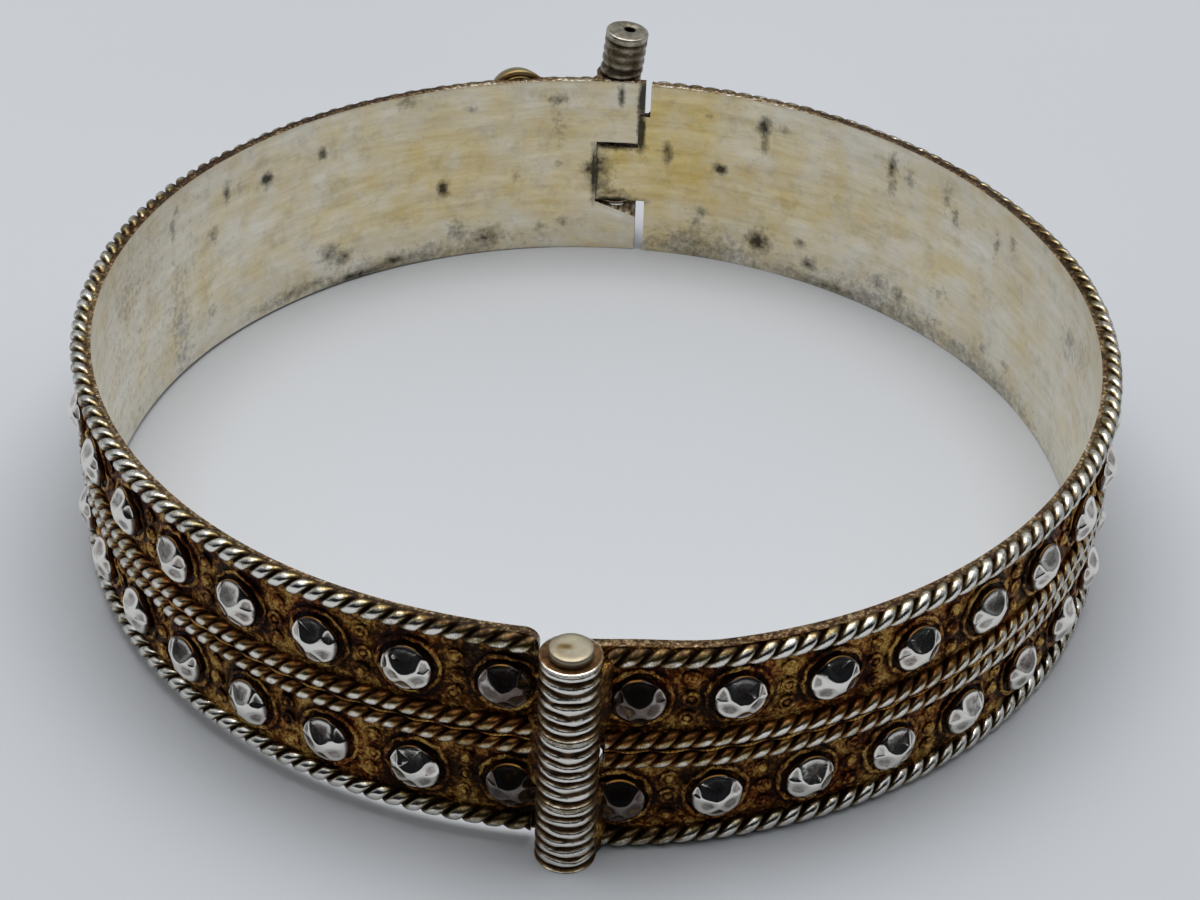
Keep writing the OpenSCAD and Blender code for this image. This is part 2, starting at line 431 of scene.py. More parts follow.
# The chart's spots darken the wall: tarnish stains, and painted shade along the edges and in the gaps at
# the clasp.
spot_share = node(tree, "MapRange", {
    "Value": node(tree, "Math", {
        0: stain_and_shade, 1: node(tree, "Math", {0: grit, 1: 1.3, 2: -0.65}, operation="MULTIPLY_ADD")[0]},
        operation="ADD")[0],
    "From Min": 0.15, "From Max": 0.78, "To Max": 0.93})["Result"]
spotted = node(
    tree, "Mix", {0: spot_share, MIX_A: filmed, MIX_B: linear("#211c18")}, data_type="RGBA")[MIX_OUT]
give_shader(tree, {
    "Base Color": spotted,
    "Metallic": 0.85,
    "Roughness": node(tree, "MapRange", {
        "Value": streaks, "From Min": 0.3, "From Max": 0.7, "To Min": 0.44, "To Max": 0.34})["Result"],
    "Normal": node(tree, "Bump", {
        "Height": node(tree, "Math", {0: scratch_lines, 1: grit}, operation="ADD")[0],
        "Strength": 0.25, "Distance": 0.00002})["Normal"],
})

# %% [markdown]
# ## The outer face: gilt, darkened, with only high spots bright
#
# Fire gilding leaves a thin gold skin on the silver. Dirt and sulphur turn the sheltered ground brown to
# black, while rubbing takes the high spots back to gold and then to bare silver. One function makes the
# whole family of finishes, because they differ only in how far they are worn and in their grain.

# %% Finishes: darkened gilt, from the ground to the studs
def darkened_gilt(name, stops, blotch, grit, grit_scale, rust, roughness, relief, crumbs=0.0):
    """A metal finish whose colour goes by wear, and stops run from recess to high spot.

    blotch and grit are how far patches of 2 mm and grit of 1 / grit_scale mm push the wear up or
    down, and crumbs does the same for the 0.2 mm crumbs of solder. rust is how red the reddest
    patches are, and relief is the height of grit and crumbs in millimetres.
    """
    finish, tree, place, wear = new_finish(name)
    patches, reds, grains = (
        node(tree, "TexNoise", {
            "Vector": place, "Scale": scale, "Detail": detail, "Roughness": fineness})["Fac"]
        for scale, detail, fineness in ((0.5, 4.0, 0.6), (0.23, 3.0, 0.6), (grit_scale, 5.0, 0.7)))
    worn = node(tree, "Math", {0: wear, 1: -(blotch + grit) / 2}, operation="ADD")[0]
    worn = node(tree, "Math", {0: patches, 1: blotch, 2: worn}, operation="MULTIPLY_ADD")[0]
    worn = node(tree, "Math", {0: grains, 1: grit, 2: worn}, operation="MULTIPLY_ADD")[0]
    crumb = node(tree, "TexVoronoi", {"Vector": place, "Scale": 4.5, "Randomness": 1.0})["Distance"]
    worn = node(tree, "Math", {0: worn, 1: crumbs * 0.4}, operation="ADD")[0]
    worn = node(
        tree, "Math", {0: crumb, 1: -crumbs, 2: worn}, operation="MULTIPLY_ADD", use_clamp=True)[0]
    colour = node(tree, "ValToRGB", {"Fac": worn}, stops)["Color"]
    red_share = node(tree, "MapRange", {
        "Value": reds, "From Min": 0.45, "From Max": 0.62, "To Max": rust})["Result"]
    unworn = node(tree, "Math", {0: 1.0, 1: worn}, operation="SUBTRACT")[0]
    rust_share = node(tree, "Math", {0: red_share, 1: unworn}, operation="MULTIPLY")[0]
    colour = node(tree, "Mix", {0: rust_share, MIX_A: colour, MIX_B: linear("#ff9a5c")},
                  data_type="RGBA", blend_type="MULTIPLY")[MIX_OUT]
    give_shader(tree, {
        "Base Color": colour,
        "Metallic": node(tree, "MapRange", {"Value": worn, "From Max": 0.35, "To Min": 0.8})["Result"],
        "Roughness": node(tree, "MapRange", {
            "Value": worn, "To Min": roughness[0], "To Max": roughness[1]})["Result"],
        "Normal": node(tree, "Bump", {
            "Height": node(tree, "Math", {0: crumb, 1: -crumbs, 2: grains}, operation="MULTIPLY_ADD")[0],
            "Strength": 1.0, "Distance": relief * MM})["Normal"],
    })
    return finish


DIRT, UMBER, BROWN, OLD_GOLD, GOLD, SILVER = (
    "#26170b", "#57361a", "#8d5f30", "#ba8b45", "#e0b866", "#efece4")
# Sheet silver, fire gilt and then darkened: brown-black against the wires, old gold where fingers reach.
ground_finish = darkened_gilt(
    "Gilt_ground_dark", [(0.0, DIRT), (0.3, UMBER), (0.5, BROWN), (0.68, OLD_GOLD), (0.9, GOLD)],
    blotch=2.7, grit=2.4, grit_scale=2.6, rust=0.9, roughness=(0.5, 0.22), relief=0.24, crumbs=0.5)
# The same sheet's sawn and filed edge: olive brown, with specks of bare silver on its corners.
edge_finish = darkened_gilt(
    "Sheet_edge_speckled",
    [(0.0, DIRT), (0.3, "#3b2b1d"), (0.55, "#745e40"), (0.75, "#a69270"), (1.0, SILVER)],
    blotch=0.6, grit=1.4, grit_scale=4.0, rust=0.45, roughness=(0.5, 0.28), relief=0.1, crumbs=0.4)
# Drawn silver wire, twisted, its gilding rubbed off: white tops with sharp lights, olive valleys.
wire_finish = darkened_gilt(
    "Twisted_wire_worn_silver",
    [(0.0, DIRT), (0.2, "#35271a"), (0.4, "#5e4a2e"), (0.56, "#857750"), (0.72, "#b9b09c"),
     (0.86, SILVER)],
    blotch=0.8, grit=1.1, grit_scale=3.0, rust=0.2, roughness=(0.45, 0.14), relief=0.015)
# The same wire where it lies lower and has kept some gilding: pale gold between the tops and the dirt.
gilt_wire_finish = darkened_gilt(
    "Twisted_wire_half_gilt",
    [(0.0, DIRT), (0.2, UMBER), (0.42, BROWN), (0.6, "#a08c5e"), (0.76, "#c4bca6"), (0.9, SILVER)],
    blotch=0.8, grit=1.1, grit_scale=3.0, rust=0.25, roughness=(0.45, 0.14), relief=0.015)
# Thin gilt wire that nothing has rubbed: gold and rust brown by turns, with soft lights.
seam_finish = darkened_gilt(
    "Gilt_seam_wire", [(0.0, DIRT), (0.4, BROWN), (0.75, OLD_GOLD), (1.0, GOLD)],
    blotch=2.0, grit=0.8, grit_scale=3.0, rust=0.9, roughness=(0.5, 0.3), relief=0.02)
# Silver hammered to facets and polished by wear: mirror-like, white on the ridges, grey in the dishes.
stud_finish = darkened_gilt(
    "Hammered_silver_stud",
    [(0.0, DIRT), (0.15, BROWN), (0.3, OLD_GOLD), (0.42, "#4c413b"), (0.56, "#7a716b"), (0.75, SILVER)],
    blotch=0.25, grit=0.25, grit_scale=2.0, rust=0.2, roughness=(0.34, 0.08), relief=0.01)
# Silver tube with turned grooves: grey-white crests, and brown dirt packed in the grooves.
barrel_finish = darkened_gilt(
    "Ribbed_barrel_silver",
    [(0.0, "#20130a"), (0.25, "#4a331e"), (0.5, "#7a6342"), (0.7, "#b8ad98"), (0.84, SILVER)],
    blotch=0.6, grit=0.8, grit_scale=2.6, rust=0.4, roughness=(0.5, 0.14), relief=0.035)
# Silver rod, its end hammered over: dull, warm grey-brown, with broad lights.
pin_finish = darkened_gilt(
    "Pin_silver_worn",
    [(0.0, "#5d4526"), (0.4, "#80714f"), (0.65, "#99907b"), (1.0, "#ada58f")],
    blotch=1.3, grit=0.5, grit_scale=2.5, rust=0.2, roughness=(0.5, 0.4), relief=0.02)
# The clasp pin's turned silver, handled at every wearing: a cleaner grey, dark in its grooves and hole.
peg_finish = darkened_gilt(
    "Clasp_pin_silver",
    [(0.0, "#2e251a"), (0.3, "#655c4a"), (0.55, "#a29c8d"), (0.9, "#d6d2c8")],
    blotch=0.8, grit=0.8, grit_scale=2.5, rust=0.2, roughness=(0.5, 0.3), relief=0.02)
# Gilt silver dome, rubbed by the thumb: pale olive gold with one broad light.
knob_finish = darkened_gilt(
    "Gilt_knob_worn", [(0.0, DIRT), (0.35, BROWN), (0.6, "#8f8560"), (1.0, "#b8ad88")],
    blotch=0.5, grit=0.4, grit_scale=2.5, rust=0.2, roughness=(0.5, 0.35), relief=0.02)
print("finishes:", len(bpy.data.materials))

# %% [markdown]
# ## Where the studs stand
#
# Both rows have a stud at every 9.8 degrees. Their places are needed twice: to set the studs, and to know
# how far each point of the ground lies from one, because the moat round every stud is darkened with
# gathered dirt and painted shade.

# %% Rows of studs
STUDS_PER_ROW, STUD_STEP, ROW_OFFSET, SUNK = 18, 9.8, 3.25, 0.1
FIRST_TURN = {"left": (5.45, 6.25), "right": (5.0, 6.65)}
KNOB_TURN, KNOB_STUD, LAST_STUD_IN = 13, 16, 0.35


def stud_places(side):
    """The (x, z) of each stud of one half, row by row, in the flat strip."""
    rows = []
    for row, z in enumerate((MID_Z - ROW_OFFSET, MID_Z + ROW_OFFSET)):
        turns = [FIRST_TURN[side][row] + STUD_STEP * k for k in range(STUDS_PER_ROW)]
        rows.append([(SIDES[side] * math.radians(turn) * OUTER_R, z) for turn in turns])
    if side == "left":
        del rows[1][KNOB_STUD]
    else:
        rows[1][-1] = (rows[1][-1][0] - LAST_STUD_IN, rows[1][-1][1])
    return rows


# %% [markdown]
# ## The sheet of each half
#
# The strip is 0.55 mm thick, with notches at both ends where the other half's knuckles sit. A grid is
# stood up as the outer face, cut along the notches, and given its thickness inwards. A box would do for
# the shape, but a fine grid lets the uneven bending, the tarnish spots and the painted shade at the clasp
# be kept point by point.
# At the clasp the sheet of the left half runs on further above than below, and its lower plate has worn
# to a slope on the inside. The spots are read off into a short chart: turn from the hinge in degrees,
# height, half width and half height in millimetres, and how dark. The second chart has the broad yellow
# zones.

# %% Charts of stains, painted shade and yellow zones
# The columns are turn, height, half width, half height and darkness.
# Most rows are tarnish stains. The last three rows of the left half and the last four of the right half
# are painted shade, not stains: dark lines along the edges of the tongue and the notches at the clasp,
# and dark strips where a gap beside a plate lies in shade. The left row at 98 degrees is a broad, mild
# darkening of the wall there.
STAIN_AND_SHADE_CHART = {
    "left": [
        (130, 10.0, 0.55, 0.5, 1.0), (123, 10.6, 0.4, 0.8, 0.6), (125.4, 10.4, 0.3, 0.7, 0.35),
        (112, 10.6, 0.35, 0.9, 0.55), (113, 11.6, 0.35, 0.4, 0.45), (120, 8.2, 0.7, 0.6, 0.5),
        (139, 10.3, 0.4, 0.5, 0.8), (139.5, 2.5, 0.9, 0.9, 0.6), (141.5, 1.9, 0.8, 0.8, 0.65),
        (144, 0.2, 3.4, 0.4, 0.8), (149, 0.5, 1.2, 0.5, 0.7), (156.5, 5.4, 0.45, 0.7, 0.9),
        (152, 12.5, 0.9, 0.5, 0.55), (158.5, 1.9, 0.9, 1.1, 0.5), (162.5, 1.2, 1.4, 1.0, 0.6),
        (160.4, 11.2, 0.35, 0.35, 0.5), (172, 11.5, 0.9, 0.6, 0.5), (172.4, 9.6, 0.5, 1.8, 0.3),
        (166.6, 5.7, 0.4, 0.4, 0.35), (172.3, 6.6, 0.4, 0.4, 0.35), (173, 2.1, 0.6, 0.5, 0.4),
        (170, 1.7, 0.6, 0.5, 0.4), (176.5, 6.2, 0.45, 0.7, 0.7), (119, 2.8, 0.7, 0.6, 0.3),
        (99, 9.4, 3.0, 2.5, 0.3), (134, 0.6, 4.0, 0.5, 0.5), (180.6, 11.9, 0.24, 0.9, 0.85),
        (152, 0.3, 8.0, 1.1, 0.42), (112, 3.0, 1.5, 5.0, 0.35), (98, 6.5, 11.0, 12.0, 0.16),
        (177.2, 6.0, 0.25, 2.2, 1.0), (182.9, 10.5, 0.14, 2.6, 0.7), (183.4, 11.8, 0.32, 1.6, 1.2)],
    "right": [
        (173, 7.9, 0.35, 1.0, 0.75), (170, 1.5, 1.0, 0.7, 0.45), (168.4, 2.6, 0.8, 0.7, 0.4),
        (172.4, 0.7, 0.8, 0.4, 0.45), (165.7, 7.2, 0.5, 0.45, 1.0), (160, 11.1, 0.55, 0.8, 0.9),
        (159.8, 9.9, 0.35, 0.9, 0.65), (167.7, 11.1, 0.4, 0.4, 0.35), (157, 11.2, 0.5, 0.5, 0.45),
        (168, 3.6, 0.6, 0.5, 0.45), (159.6, 2.2, 1.0, 0.9, 0.85), (153.6, 2.9, 0.45, 0.4, 0.6),
        (152.2, 1.5, 0.7, 0.6, 0.65), (141, 11.2, 0.4, 1.0, 0.8), (140.7, 9.8, 0.35, 0.8, 0.55),
        (138, 10.8, 0.4, 0.7, 0.45), (131.8, 11.0, 0.4, 0.9, 0.5), (130, 9.8, 0.4, 0.9, 0.45),
        (121.9, 10.0, 0.4, 0.8, 0.45), (118.8, 10.8, 0.4, 0.6, 0.45), (141.5, 2.1, 1.0, 0.7, 0.55),
        (138, 2.0, 0.8, 0.7, 0.55), (127.3, 0.7, 1.2, 0.5, 0.5), (131, 3.9, 0.6, 0.5, 0.35),
        (131, 1.6, 0.6, 0.5, 0.35), (121.9, 2.1, 0.6, 0.5, 0.35), (117, 2.2, 0.6, 0.5, 0.35),
        (101.8, 8.8, 1.4, 1.4, 0.35), (97, 9.4, 1.4, 1.4, 0.3), (148, 0.3, 6.0, 0.7, 0.55),
        (168, 0.6, 6.0, 1.6, 0.42), (140, 0.5, 9.0, 1.3, 0.42), (121, 0.4, 8.0, 1.2, 0.4),
        (182.0, 6.0, 0.9, 2.3, 0.6), (180.3, 4.5, 1.2, 0.5, 0.5), (182.5, 6.0, 0.28, 2.6, 1.0),
        (180.2, 8.15, 2.2, 0.3, 1.0), (180.2, 3.9, 2.2, 0.28, 1.0), (176.7, 9.4, 0.32, 1.5, 1.3)],
}
YELLOWS = {
    "left": [(160, 7, 14, 6, 0.6), (172, 7, 8, 7, 0.5), (140, 9, 10, 4, 0.35), (125, 5, 12, 3, 0.25)],
    "right": [(173, 8, 7, 7, 0.9), (158, 6, 10, 5, 0.5), (138, 7, 14, 5, 0.3), (182, 6, 2, 3, 0.5)],
}


def chart_rule(rows, side):
    """A rule for note_amount: the strongest of a chart's soft spots at a point."""
    spots = [(SIDES[side] * math.radians(turn) * OUTER_R, z, w, h, dark) for turn, z, w, h, dark in rows]
    return lambda co: max(
        dark * math.exp(-((co.x - x) / w) ** 2 - ((co.z - z) / h) ** 2) for x, z, w, h, dark in spots)


# %% Shape the flat strip
CELL = 0.2
HINGE_CLEAR_RIGHT, HINGE_CLEAR_LEFT = 1.72, 1.62
CLASP_CLEAR_RIGHT, CLASP_CLEAR_TOP, CLASP_CLEAR_SHORT, CLASP_CLEAR_LEFT = 2.15, 2.3, 1.56, 1.33
SHORT_TOP = 10.5
PAST_CLASP = {"left": 1.9, "right": 1.3}
LOWER_PAST_CLASP = 1.53
ROOM_ROUND_KNUCKLE, ROOM_ROUND_CLASP = 0.1, 0.25
BELOW, ABOVE = -1.0, BAND_H + 1.0
FULL_L = HALF_L + max(PAST_CLASP.values())
# Each notch is what is cut out between two places along the strip and two heights.
NOTCHES = {
    "right": [
        (0, HINGE_CLEAR_RIGHT, HINGE_ZONES[1][0] - ROOM_ROUND_KNUCKLE,
         HINGE_ZONES[1][1] + ROOM_ROUND_KNUCKLE),
        (HALF_L - CLASP_CLEAR_RIGHT, FULL_L, BELOW, CLASP_ZONES[0][1] + ROOM_ROUND_CLASP),
        (HALF_L - CLASP_CLEAR_SHORT, FULL_L, CLASP_ZONES[2][0] - ROOM_ROUND_CLASP, SHORT_TOP),
        (HALF_L - CLASP_CLEAR_TOP, FULL_L, SHORT_TOP, ABOVE)],
    "left": [
        (-HINGE_CLEAR_LEFT, 0, BELOW, HINGE_ZONES[0][1] + ROOM_ROUND_KNUCKLE - LEFT_RISE),
        (-HINGE_CLEAR_LEFT, 0, HINGE_ZONES[2][0] - ROOM_ROUND_KNUCKLE - LEFT_RISE, ABOVE),
        (-FULL_L, -HALF_L - LOWER_PAST_CLASP, BELOW, SHORT_TOP),
        (-FULL_L, -HALF_L + CLASP_CLEAR_LEFT, CLASP_ZONES[1][0] - ROOM_ROUND_CLASP,
         CLASP_ZONES[1][1] + ROOM_ROUND_CLASP)],
}
CORNER_R, PLATE_SLOPE, SLOPE_FROM = 0.8, 0.38, 1.0
PLATE_TOP = CLASP_ZONES[1][0] - ROOM_ROUND_CLASP


def flat_strip(side):
    """The outer face of one half as an upright grid with its notches cut out."""
    bm = bmesh.new()
    length = HALF_L + PAST_CLASP[side]
    stand_up = (
        Matrix.Translation((SIDES[side] * length / 2, 0, MID_Z))
        @ Matrix.Rotation(math.pi / 2, 4, "X")
        @ Matrix.Diagonal((length, BAND_H, 1, 1))
    )
    bmesh.ops.create_grid(
        bm, x_segments=round(length / CELL), y_segments=round(BAND_H / CELL), size=0.5, matrix=stand_up)
    for left, right, low, high in NOTCHES[side]:
        for side_x, level in ((left, low), (right, high)):
            cut(bm, (side_x, 0, 0), ALONG)
            cut(bm, (0, 0, level), UP)
        inside = [
            face for face in bm.faces
            if left < face.calc_center_median().x < right and low < face.calc_center_median().z < high]
        bmesh.ops.delete(bm, geom=inside, context="FACES")
    return bm


def round_corner(bm):
    """Rounds the left half's upper corner beside the hinge with short straight cuts, as a file would."""
    centre = Vector((-HINGE_CLEAR_LEFT - CORNER_R, 0, BAND_H - CORNER_R))
    for turn in (15, 30, 45, 60, 75):
        normal = Vector((math.cos(math.radians(turn)), 0, math.sin(math.radians(turn))))
        upper = [face for face in bm.faces if face.calc_center_median().z > centre.z]
        geom = dict.fromkeys(item for face in upper for item in (face, *face.edges, *face.verts))
        cut(bm, centre + normal * CORNER_R, normal, list(geom), clear_outer=True)


def slope_plate(vert):
    """Slopes the inner side of the left half's lower plate at the clasp, where it has worn down."""
    past = CLASP_CLEAR_LEFT - HALF_L - vert.co.x
    if past > 0 and SLOPE_FROM < vert.co.z < PLATE_TOP + 0.01:
        share = (vert.co.z - SLOPE_FROM) / (PLATE_TOP - SLOPE_FROM)
        vert.co.z -= PLATE_SLOPE * past * share * smooth_step(0, SHEET_T, vert.co.y)


# %% Build the sheets
INNER_FACE, OUTER_FACE, EDGE_FACE = 0, 1, 2
MOAT_FROM, MOAT_TO = 1.8, 2.2
LUMPS = ((1.3, 0.06), (2.4, 0.045))
BROWN_GROUND = 5.0, 17.0
PLUG_IN, PLUG_OPEN_AT, PLUG_OPEN_R = 0.15, 5.9, 0.6
# Where the front of a half ends, its flank starts and ends, and its back starts: the first and the last
# degrees of a soft change, counted from the hinge.
FRONT_ENDS, FLANK_STARTS, FLANK_ENDS, BACK_STARTS = (20, 45), (30, 60), (85, 105), (145, 165)
# Wear of the sheet's edges, of the ground, and of the moats in it. The moats' low value round each stud
# is gathered dirt and painted shade.
ON_EDGE, ARRIS = 0.03, (SHEET_T - 0.12, SHEET_T - 0.02)
# The worn slope of the left plate at the clasp is made pale: rubbed silver and painted light.
LOWER_EDGE, PLATE_WEAR_AND_LIGHT = 0.85, 0.8
UPPER_EDGE, HINGE_EDGE, ARRIS_WEAR = {"left": 0.32, "right": 0.55}, {"left": 0.8, "right": 0.35}, 0.3
EDGE_RUBBED_AT_BACK, EDGE_DULL_PAST_FLANK, EDGE_DULL_PAST_FRONT = 0.35, 0.14, 0.2
MOAT_DIRT_AND_SHADE, GROUND_WEAR, MOAT_KEPT_DARK, GROUND_KEPT_DARK = 0.12, 0.54, 0.07, 0.12


def ground_rule(side):
    """A rule for note_amount: how worn the sheet's outer face and its edges are."""
    studs = [spot for row in stud_places(side) for spot in row]

    def rule(co):
        turn = math.degrees(abs(co.x) / OUTER_R)
        if co.z < ON_EDGE:
            return LOWER_EDGE
        if co.z > BAND_H - ON_EDGE:
            back = EDGE_RUBBED_AT_BACK * smooth_step(*BACK_STARTS, turn)
            back -= EDGE_DULL_PAST_FLANK * smooth_step(*FLANK_ENDS, turn)
            arris = ARRIS_WEAR * smooth_step(*ARRIS, co.y)
            if side == "right":
                arris = (arris - EDGE_DULL_PAST_FRONT) * smooth_step(*FRONT_ENDS, turn)
            return UPPER_EDGE[side] + back + arris
        # The left plate's worn slope at the clasp: rubbed silver and painted light.
        if side == "left" and co.x < CLASP_CLEAR_LEFT - HALF_L and abs(co.z - PLATE_TOP) < ON_EDGE:
            return PLATE_WEAR_AND_LIGHT
        if co.y > 0.05 and abs(co.x) < HINGE_CLEAR_RIGHT + 0.05:
            return HINGE_EDGE[side]
        to_stud = min(math.hypot(co.x - x, co.z - z) for x, z in studs)
        kept_dark = max(
            smooth_step(*FLANK_STARTS, turn), smooth_step(*reversed(BROWN_GROUND), abs(co.x)))
        ground = GROUND_WEAR - GROUND_KEPT_DARK * kept_dark
        # The moat round each stud is kept dark: gathered dirt and painted shade.
        past_moat = smooth_step(MOAT_FROM, MOAT_TO, to_stud)
        return MOAT_DIRT_AND_SHADE - MOAT_KEPT_DARK * kept_dark + ground * past_moat
    return rule


for side in SIDES:
    bm = flat_strip(side)
    if side == "left":
        round_corner(bm)
    bmesh.ops.recalc_face_normals(bm, faces=bm.faces)
    if bm.faces[0].normal.y > 0:
        bmesh.ops.reverse_faces(bm, faces=bm.faces)
    bmesh.ops.solidify(bm, geom=bm.faces[:], thickness=SHEET_T)
    rims = [edge for edge in bm.edges if edge.calc_face_angle(0) > math.radians(60)]
    bmesh.ops.bevel(
        bm, geom=rims, offset=0.06, segments=2, profile=0.5, affect="EDGES", material=-1,
        clamp_overlap=True)
    for face in bm.faces:
        inwards = face.normal.y
        face.material_index = INNER_FACE if inwards > 0.9 else OUTER_FACE if inwards < -0.9 else EDGE_FACE
    note_place(bm)
    note_amount(bm, "wear", ground_rule(side))
    # Stains, and painted shade along the clasp's edges and in its gaps.
    note_amount(bm, "stain_and_shade", chart_rule(STAIN_AND_SHADE_CHART[side], side))
    note_amount(bm, "yellow", chart_rule(YELLOWS[side], side))
    for vert in bm.verts:
        if vert.co.y < 0.01:
            vert.co.y -= sum(height * noise.noise(vert.co * scale) for scale, height in LUMPS)
        if side == "left":
            slope_plate(vert)
        elif vert.co.x < HINGE_CLEAR_RIGHT + 0.02 and HINGE_ZONES[1][0] < vert.co.z < HINGE_ZONES[1][1]:
            vert.co.x -= PLUG_IN * smooth_step(0.5, 1, abs(vert.co.z - PLUG_OPEN_AT) / PLUG_OPEN_R)
    bend(bm, side)
    make_piece(
        side + "_sheet", bm, [inner_finish, ground_finish, edge_finish], side + "_half",
        [side + "_half"])

# %% [markdown]
# ## Twisted wires
#
# Two round wires are twisted together like a rope, and the rope is soldered down. Seen from outside
# each turn shows as a slanting crescent. One strand is a circle that turns round the rope's axis while it
# moves along it, which is just what bmesh's spin does when each step also has a shift. Cut square to the
# rope, a round strand that runs aslant is a wider oval. The tops are rubbed flat and bright.

# %% Build the twisted wires
ROPE_PROUD = 0.65
EDGE_WIRE_D, MIDDLE_WIRE_D, MIDDLE_GAP, EDGE_INSET = 1.1, 1.05, 1.24, 0.05
STEPS_PER_TURN, STRAND_SIDES = 16, 12
STRAND_SHARE = 0.29
BROWN_BESIDE_HINGE = 3.0, 11.0
RUBBED_FLAT, HAND_WORK = 0.01, 0.04
# How far out on a strand the rubbing starts: in general, what a flank adds, and what the hinge adds. Then
# how far from the rope's axis a valley ends.
RUBBED_FROM = {EDGE_WIRE_D: (-0.5, -1.6, 0.9), MIDDLE_WIRE_D: (0.35, -0.35, 0.2)}
VALLEY_END = {EDGE_WIRE_D: 0.6, MIDDLE_WIRE_D: 0.72}
VALLEY_WEAR, CREST_WEAR, RUBBED_WEAR, BROWN_SHARE = 0.08, 0.2, 0.72, 0.38
# The flank of a half, where the wires' upper side is rubbed too, and what of that is lost at the back.
WIRE_FLANK_FROM, WIRE_FLANK_TO, LOST_AT_BACK, DULL_ON_FLANK = (25, 60), (85, 115), 0.8, 0.12
# How far the bright part of a strand is moved to its lower outside, with the upper side kept dark:
# painted reflections of the pale floor below and of the dark room above.
FULLY_RUBBED, PAINTED_LEAN_OUT, PAINTED_LEAN_UP = 0.95, 0.1, 0.43


def one_turn(bm, axis, turn_length, steps):
    """Spins the circles in bm once round an axis along x, and left-handed along it."""
    bmesh.ops.spin(
        bm, geom=bm.verts[:] + bm.edges[:], cent=axis, axis=ALONG, angle=-2 * math.pi, steps=steps,
        dvec=(turn_length / steps, 0, 0))


def repeat_along(bm, turn_length, start, end):
    """Doubles one turn until it is long enough, welds the turns, and cuts the last one at the end."""
    reach = turn_length
    while start + reach < end:
        copy = bmesh.ops.duplicate(bm, geom=bm.verts[:] + bm.edges[:] + bm.faces[:])
        bmesh.ops.translate(bm, verts=only(copy["geom"], bmesh.types.BMVert), vec=(reach, 0, 0))
        reach *= 2
    bmesh.ops.remove_doubles(bm, verts=bm.verts, dist=WELD)
    cut(bm, (end, 0, 0), ALONG, clear_outer=True)
    close_holes(bm)
    bmesh.ops.recalc_face_normals(bm, faces=bm.faces)


def twisted_wire(start, end, height, wire_d, turn_length):
    """Two strands twisted round each other along x. turn_length is the length of one full turn."""
    bm = bmesh.new()
    axis = Vector((start, wire_d / 2 - ROPE_PROUD, height))
    slant = math.atan(math.pi * wire_d / 2 / turn_length)
    radius = wire_d * STRAND_SHARE
    for strand in range(2):
        section = (
            Matrix.Translation(axis)
            @ Matrix.Rotation(math.pi * strand, 4, "X")
            @ Matrix.Translation((0, wire_d / 2 - radius, 0))
            @ Matrix.Rotation(math.pi / 2, 4, "Y")
            @ Matrix.Diagonal((radius / math.cos(slant), radius, 1, 1))
        )
        bmesh.ops.create_circle(bm, cap_ends=False, segments=STRAND_SIDES, radius=1, matrix=section)
    one_turn(bm, axis, turn_length, STEPS_PER_TURN)
    repeat_along(bm, turn_length, start, end)
    return bm


def strand_wear(height, wire_d):
    """A rule for note_amount: bright on the outside of a strand, dark in the valleys.

    On the flanks of the bangle the upper side of the wires is rubbed too. The middle wires lie lower and
    are rubbed less. On the middle wires at the front, and on the edge wires beside the hinge, the bright
    part of each strand is moved to its lower outside and its upper side kept dark: painted reflections of
    the pale floor below and of the dark room above. Beside the hinge all of them have stayed brown.
    """
    centre = wire_d / 2 - ROPE_PROUD

    def rule(co):
        out, up = (centre - co.y) / (wire_d / 2), (co.z - height) / (wire_d / 2)
        turn = math.degrees(abs(co.x) / OUTER_R)
        flank = smooth_step(*WIRE_FLANK_FROM, turn) - LOST_AT_BACK * smooth_step(*WIRE_FLANK_TO, turn)
        brown = 1 - smooth_step(*BROWN_BESIDE_HINGE, abs(co.x))
        start, on_flank, at_hinge = RUBBED_FROM[wire_d]
        # The lean moves the bright part of each strand to its lower outside: painted reflections of the
        # floor below and of the dark room above.
        painted_lean, clean = (brown, 1 - DULL_ON_FLANK * flank) if wire_d == EDGE_WIRE_D else (1 - flank, 1)
        rubbed = clean * smooth_step(
            start + on_flank * flank + at_hinge * brown, FULLY_RUBBED,
            (1 - PAINTED_LEAN_OUT * painted_lean) * out - PAINTED_LEAN_UP * painted_lean * up)
        crest = smooth_step(VALLEY_END[wire_d], 1.0, math.hypot(out, up))
        return VALLEY_WEAR + crest * (CREST_WEAR + RUBBED_WEAR * rubbed * (1 - BROWN_SHARE * brown))
    return rule


def rub_flat(bm):
    """Rubs the outermost tops of a wire flat."""
    for vert in bm.verts:
        vert.co.y = max(vert.co.y, RUBBED_FLAT - ROPE_PROUD)


WIRE_START, WIRE_END_CLASP = 1.8, 1.75
TOP_LIFT, TOP_DROP = 0.27, {"left": 0.27, "right": 0.22}
TOP_RISES, TOP_SINKS = {"left": (3, 10), "right": (18, 42)}, (98, 130)


def lift_top(bm, side):
    """Lets the top wire ride up over the sheet's edge at the front and flanks, and sink at the back."""
    for vert in bm.verts:
        turn = math.degrees(abs(vert.co.x) / OUTER_R)
        vert.co.z += TOP_LIFT * smooth_step(*TOP_RISES[side], turn)
        vert.co.z -= TOP_DROP[side] * smooth_step(*TOP_SINKS, turn)


